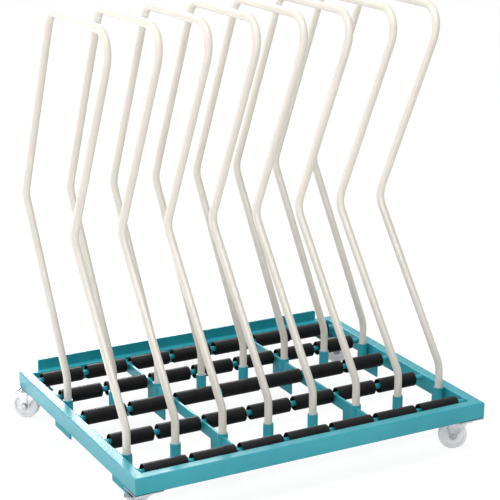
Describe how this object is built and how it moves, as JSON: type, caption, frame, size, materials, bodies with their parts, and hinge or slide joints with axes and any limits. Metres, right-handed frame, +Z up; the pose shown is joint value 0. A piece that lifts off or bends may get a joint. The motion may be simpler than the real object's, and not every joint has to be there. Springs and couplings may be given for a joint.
{
  "type": "glazing trolley",
  "caption": "Low wheeled frame with rows of free rollers and bent tube hoops that part and hold up upright panes or window frames.",
  "frame": {"origin": "on the floor, under the middle of the whole outline", "axes": "+X along the trolley across the hoops, +Y from the open front to the backstop, +Z up"},
  "size_m": [1.5194, 1.0944, 1.5575],
  "materials": {
    "teal_paint": "satin powder coat",
    "cream_paint": "satin powder coat",
    "roller_black": "satin sleeve",
    "white_nylon": "moulded nylon",
    "zinc": "bright zinc plate"
  },
  "bodies": {
    "frame": {"frame_rails": "teal_paint", "roller_shafts": "teal_paint", "hoop_sockets": "teal_paint", "cross_bars": "teal_paint", "socket_beams": "teal_paint", "backstop": "teal_paint", "caster_heads": "zinc"},
    "fork_front_left": {"fork_front_left": "zinc"},
    "wheel_front_left": {"wheel_front_left": "white_nylon"},
    "fork_front_right": {"fork_front_right": "zinc"},
    "wheel_front_right": {"wheel_front_right": "white_nylon"},
    "fork_rear_left": {"fork_rear_left": "zinc"},
    "wheel_rear_left": {"wheel_rear_left": "white_nylon"},
    "pedal_rear_left": {"pedal_rear_left": "zinc"},
    "fork_rear_right": {"fork_rear_right": "zinc"},
    "wheel_rear_right": {"wheel_rear_right": "white_nylon"},
    "pedal_rear_right": {"pedal_rear_right": "zinc"},
    "hoop_1": {"hoop_1": "cream_paint"},
    "hoop_2": {"hoop_2": "cream_paint"},
    "hoop_3": {"hoop_3": "cream_paint"},
    "hoop_4": {"hoop_4": "cream_paint"},
    "hoop_5": {"hoop_5": "cream_paint"},
    "hoop_6": {"hoop_6": "cream_paint"},
    "hoop_7": {"hoop_7": "cream_paint"},
    "hoop_8": {"hoop_8": "cream_paint"},
    "roller_1_1": {"roller_1_1": "roller_black"},
    "roller_1_2": {"roller_1_2": "roller_black"},
    "roller_1_3": {"roller_1_3": "roller_black"},
    "roller_1_4": {"roller_1_4": "roller_black"},
    "roller_1_5": {"roller_1_5": "roller_black"},
    "roller_1_6": {"roller_1_6": "roller_black"},
    "roller_1_7": {"roller_1_7": "roller_black"},
    "roller_2_1": {"roller_2_1": "roller_black"},
    "roller_2_2": {"roller_2_2": "roller_black"},
    "roller_2_3": {"roller_2_3": "roller_black"},
    "roller_2_4": {"roller_2_4": "roller_black"},
    "roller_2_5": {"roller_2_5": "roller_black"},
    "roller_2_6": {"roller_2_6": "roller_black"},
    "roller_2_7": {"roller_2_7": "roller_black"},
    "roller_3_1": {"roller_3_1": "roller_black"},
    "roller_3_2": {"roller_3_2": "roller_black"},
    "roller_3_3": {"roller_3_3": "roller_black"},
    "roller_3_4": {"roller_3_4": "roller_black"},
    "roller_3_5": {"roller_3_5": "roller_black"},
    "roller_3_6": {"roller_3_6": "roller_black"},
    "roller_3_7": {"roller_3_7": "roller_black"},
    "roller_4_1": {"roller_4_1": "roller_black"},
    "roller_4_2": {"roller_4_2": "roller_black"},
    "roller_4_3": {"roller_4_3": "roller_black"},
    "roller_4_4": {"roller_4_4": "roller_black"},
    "roller_4_5": {"roller_4_5": "roller_black"},
    "roller_4_6": {"roller_4_6": "roller_black"},
    "roller_4_7": {"roller_4_7": "roller_black"},
    "roller_5_1": {"roller_5_1": "roller_black"},
    "roller_5_2": {"roller_5_2": "roller_black"},
    "roller_5_3": {"roller_5_3": "roller_black"},
    "roller_5_4": {"roller_5_4": "roller_black"},
    "roller_5_5": {"roller_5_5": "roller_black"},
    "roller_5_6": {"roller_5_6": "roller_black"},
    "roller_5_7": {"roller_5_7": "roller_black"}
  },
  "joints": [
    {"name": "hoop_1_lift", "type": "slide", "parent": "frame", "child": "hoop_1", "axis": [0, 0, 1], "range_m": [0, 0.07]},
    {"name": "hoop_2_lift", "type": "slide", "parent": "frame", "child": "hoop_2", "axis": [0, 0, 1], "range_m": [0, 0.07]},
    {"name": "hoop_3_lift", "type": "slide", "parent": "frame", "child": "hoop_3", "axis": [0, 0, 1], "range_m": [0, 0.07]},
    {"name": "hoop_4_lift", "type": "slide", "parent": "frame", "child": "hoop_4", "axis": [0, 0, 1], "range_m": [0, 0.07]},
    {"name": "hoop_5_lift", "type": "slide", "parent": "frame", "child": "hoop_5", "axis": [0, 0, 1], "range_m": [0, 0.07]},
    {"name": "hoop_6_lift", "type": "slide", "parent": "frame", "child": "hoop_6", "axis": [0, 0, 1], "range_m": [0, 0.07]},
    {"name": "hoop_7_lift", "type": "slide", "parent": "frame", "child": "hoop_7", "axis": [0, 0, 1], "range_m": [0, 0.07]},
    {"name": "hoop_8_lift", "type": "slide", "parent": "frame", "child": "hoop_8", "axis": [0, 0, 1], "range_m": [0, 0.07]},
    {"name": "swivel_front_left", "type": "hinge", "parent": "frame", "child": "fork_front_left", "pos_m": [-0.59666, -0.50473, 0.1027], "axis": [0, 0, 1], "continuous": true},
    {"name": "swivel_front_right", "type": "hinge", "parent": "frame", "child": "fork_front_right", "pos_m": [0.64734, -0.50473, 0.1027], "axis": [0, 0, 1], "continuous": true},
    {"name": "swivel_rear_left", "type": "hinge", "parent": "frame", "child": "fork_rear_left", "pos_m": [-0.59666, 0.45527, 0.1027], "axis": [0, 0, 1], "continuous": true},
    {"name": "swivel_rear_right", "type": "hinge", "parent": "frame", "child": "fork_rear_right", "pos_m": [0.64734, 0.45527, 0.1027], "axis": [0, 0, 1], "continuous": true},
    {"name": "roll_front_left", "type": "hinge", "parent": "fork_front_left", "child": "wheel_front_left", "pos_m": [-0.63966, -0.50473, 0.05], "axis": [0, 1, 0], "continuous": true},
    {"name": "roll_front_right", "type": "hinge", "parent": "fork_front_right", "child": "wheel_front_right", "pos_m": [0.60937, -0.48454, 0.05], "axis": [0.4695, 0.8829, 0], "continuous": true},
    {"name": "roll_rear_left", "type": "hinge", "parent": "fork_rear_left", "child": "wheel_rear_left", "pos_m": [-0.62862, 0.48404, 0.05], "axis": [0.6691, 0.7431, 0], "continuous": true},
    {"name": "roll_rear_right", "type": "hinge", "parent": "fork_rear_right", "child": "wheel_rear_right", "pos_m": [0.6853, 0.43508, 0.05], "axis": [-0.4695, -0.8829, 0], "continuous": true},
    {"name": "brake_rear_left", "type": "hinge", "parent": "fork_rear_left", "child": "pedal_rear_left", "pos_m": [-0.65373, 0.50666, 0.09652], "axis": [-0.6691, -0.7431, 0], "range_deg": [0, 16]},
    {"name": "brake_rear_right", "type": "hinge", "parent": "fork_rear_right", "child": "pedal_rear_right", "pos_m": [0.71515, 0.41922, 0.09652], "axis": [0.4695, 0.8829, 0], "range_deg": [0, 16]},
    {"name": "turn_1_1", "type": "hinge", "parent": "frame", "child": "roller_1_1", "pos_m": [-0.51366, -0.47923, 0.163], "axis": [1, 0, 0], "continuous": true},
    {"name": "turn_1_2", "type": "hinge", "parent": "frame", "child": "roller_1_2", "pos_m": [-0.33766, -0.47923, 0.163], "axis": [1, 0, 0], "continuous": true},
    {"name": "turn_1_3", "type": "hinge", "parent": "frame", "child": "roller_1_3", "pos_m": [-0.16166, -0.47923, 0.163], "axis": [1, 0, 0], "continuous": true},
    {"name": "turn_1_4", "type": "hinge", "parent": "frame", "child": "roller_1_4", "pos_m": [0.01434, -0.47923, 0.163], "axis": [1, 0, 0], "continuous": true},
    {"name": "turn_1_5", "type": "hinge", "parent": "frame", "child": "roller_1_5", "pos_m": [0.19034, -0.47923, 0.163], "axis": [1, 0, 0], "continuous": true},
    {"name": "turn_1_6", "type": "hinge", "parent": "frame", "child": "roller_1_6", "pos_m": [0.36634, -0.47923, 0.163], "axis": [1, 0, 0], "continuous": true},
    {"name": "turn_1_7", "type": "hinge", "parent": "frame", "child": "roller_1_7", "pos_m": [0.54234, -0.47923, 0.163], "axis": [1, 0, 0], "continuous": true},
    {"name": "turn_2_1", "type": "hinge", "parent": "frame", "child": "roller_2_1", "pos_m": [-0.51366, -0.21327, 0.163], "axis": [1, 0, 0], "continuous": true},
    {"name": "turn_2_2", "type": "hinge", "parent": "frame", "child": "roller_2_2", "pos_m": [-0.33766, -0.21327, 0.163], "axis": [1, 0, 0], "continuous": true},
    {"name": "turn_2_3", "type": "hinge", "parent": "frame", "child": "roller_2_3", "pos_m": [-0.16166, -0.21327, 0.163], "axis": [1, 0, 0], "continuous": true},
    {"name": "turn_2_4", "type": "hinge", "parent": "frame", "child": "roller_2_4", "pos_m": [0.01434, -0.21327, 0.163], "axis": [1, 0, 0], "continuous": true},
    {"name": "turn_2_5", "type": "hinge", "parent": "frame", "child": "roller_2_5", "pos_m": [0.19034, -0.21327, 0.163], "axis": [1, 0, 0], "continuous": true},
    {"name": "turn_2_6", "type": "hinge", "parent": "frame", "child": "roller_2_6", "pos_m": [0.36634, -0.21327, 0.163], "axis": [1, 0, 0], "continuous": true},
    {"name": "turn_2_7", "type": "hinge", "parent": "frame", "child": "roller_2_7", "pos_m": [0.54234, -0.21327, 0.163], "axis": [1, 0, 0], "continuous": true},
    {"name": "turn_3_1", "type": "hinge", "parent": "frame", "child": "roller_3_1", "pos_m": [-0.51366, 0.01183, 0.163], "axis": [1, 0, 0], "continuous": true},
    {"name": "turn_3_2", "type": "hinge", "parent": "frame", "child": "roller_3_2", "pos_m": [-0.33766, 0.01183, 0.163], "axis": [1, 0, 0], "continuous": true},
    {"name": "turn_3_3", "type": "hinge", "parent": "frame", "child": "roller_3_3", "pos_m": [-0.16166, 0.01183, 0.163], "axis": [1, 0, 0], "continuous": true},
    {"name": "turn_3_4", "type": "hinge", "parent": "frame", "child": "roller_3_4", "pos_m": [0.01434, 0.01183, 0.163], "axis": [1, 0, 0], "continuous": true},
    {"name": "turn_3_5", "type": "hinge", "parent": "frame", "child": "roller_3_5", "pos_m": [0.19034, 0.01183, 0.163], "axis": [1, 0, 0], "continuous": true},
    {"name": "turn_3_6", "type": "hinge", "parent": "frame", "child": "roller_3_6", "pos_m": [0.36634, 0.01183, 0.163], "axis": [1, 0, 0], "continuous": true},
    {"name": "turn_3_7", "type": "hinge", "parent": "frame", "child": "roller_3_7", "pos_m": [0.54234, 0.01183, 0.163], "axis": [1, 0, 0], "continuous": true},
    {"name": "turn_4_1", "type": "hinge", "parent": "frame", "child": "roller_4_1", "pos_m": [-0.51366, 0.22673, 0.163], "axis": [1, 0, 0], "continuous": true},
    {"name": "turn_4_2", "type": "hinge", "parent": "frame", "child": "roller_4_2", "pos_m": [-0.33766, 0.22673, 0.163], "axis": [1, 0, 0], "continuous": true},
    {"name": "turn_4_3", "type": "hinge", "parent": "frame", "child": "roller_4_3", "pos_m": [-0.16166, 0.22673, 0.163], "axis": [1, 0, 0], "continuous": true},
    {"name": "turn_4_4", "type": "hinge", "parent": "frame", "child": "roller_4_4", "pos_m": [0.01434, 0.22673, 0.163], "axis": [1, 0, 0], "continuous": true},
    {"name": "turn_4_5", "type": "hinge", "parent": "frame", "child": "roller_4_5", "pos_m": [0.19034, 0.22673, 0.163], "axis": [1, 0, 0], "continuous": true},
    {"name": "turn_4_6", "type": "hinge", "parent": "frame", "child": "roller_4_6", "pos_m": [0.36634, 0.22673, 0.163], "axis": [1, 0, 0], "continuous": true},
    {"name": "turn_4_7", "type": "hinge", "parent": "frame", "child": "roller_4_7", "pos_m": [0.54234, 0.22673, 0.163], "axis": [1, 0, 0], "continuous": true},
    {"name": "turn_5_1", "type": "hinge", "parent": "frame", "child": "roller_5_1", "pos_m": [-0.51366, 0.40877, 0.163], "axis": [1, 0, 0], "continuous": true},
    {"name": "turn_5_2", "type": "hinge", "parent": "frame", "child": "roller_5_2", "pos_m": [-0.33766, 0.40877, 0.163], "axis": [1, 0, 0], "continuous": true},
    {"name": "turn_5_3", "type": "hinge", "parent": "frame", "child": "roller_5_3", "pos_m": [-0.16166, 0.40877, 0.163], "axis": [1, 0, 0], "continuous": true},
    {"name": "turn_5_4", "type": "hinge", "parent": "frame", "child": "roller_5_4", "pos_m": [0.01434, 0.40877, 0.163], "axis": [1, 0, 0], "continuous": true},
    {"name": "turn_5_5", "type": "hinge", "parent": "frame", "child": "roller_5_5", "pos_m": [0.19034, 0.40877, 0.163], "axis": [1, 0, 0], "continuous": true},
    {"name": "turn_5_6", "type": "hinge", "parent": "frame", "child": "roller_5_6", "pos_m": [0.36634, 0.40877, 0.163], "axis": [1, 0, 0], "continuous": true},
    {"name": "turn_5_7", "type": "hinge", "parent": "frame", "child": "roller_5_7", "pos_m": [0.54234, 0.40877, 0.163], "axis": [1, 0, 0], "continuous": true}
  ]
}
